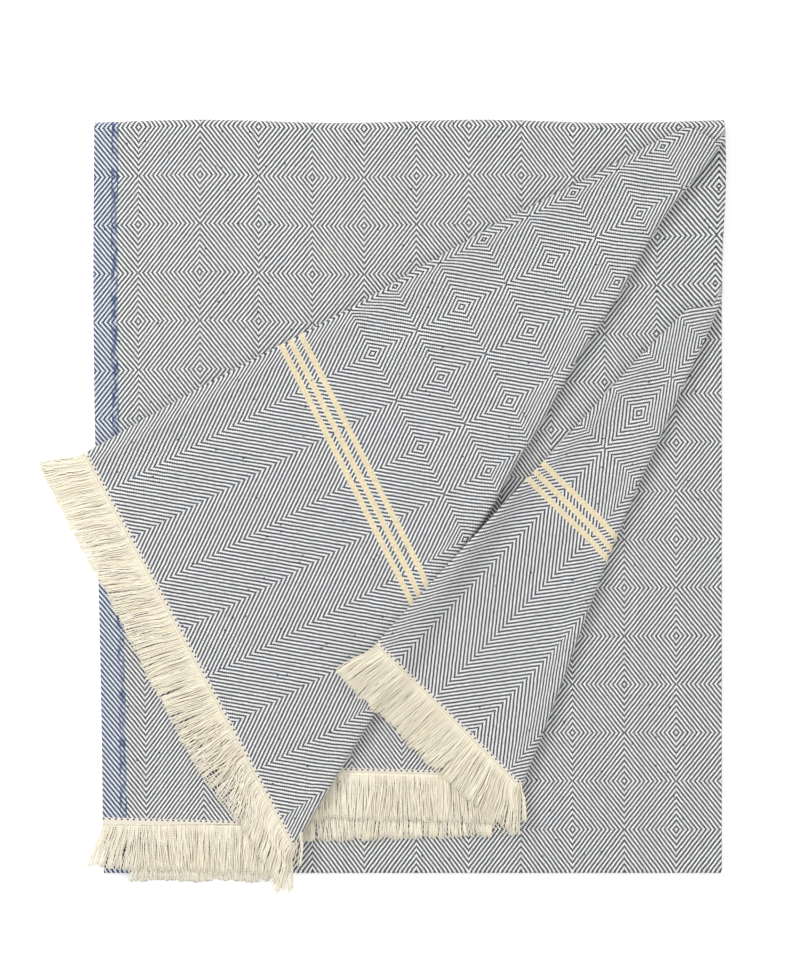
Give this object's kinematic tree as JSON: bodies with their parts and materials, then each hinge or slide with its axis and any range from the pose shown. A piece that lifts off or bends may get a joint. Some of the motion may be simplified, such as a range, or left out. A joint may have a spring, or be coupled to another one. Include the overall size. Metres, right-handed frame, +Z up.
{
  "type": "folded fringed diamond-twill throw blanket",
  "caption": "Fringed cotton throw in diamond twill, folded into a flat rectangular pack with its end corners turned back over the top.",
  "frame": {"origin": "on the floor, under the middle of the folded rectangle", "axes": "+Z up, +Y towards the folded head of the pack, away from the fringed ends, +X towards the fold across the width"},
  "size_m": [0.4868, 0.5622, 0.0209],
  "materials": {
    "twill_cloth": "matte blue-grey and white diamond twill, with cream stripes near each end and a blue selvedge band",
    "natural_yarn": "matte natural cotton yarn"
  },
  "bodies": {
    "root": {"woven_cloth": "twill_cloth", "fringe_end_1": "natural_yarn", "fringe_end_2": "natural_yarn"}
  },
  "joints": []
}
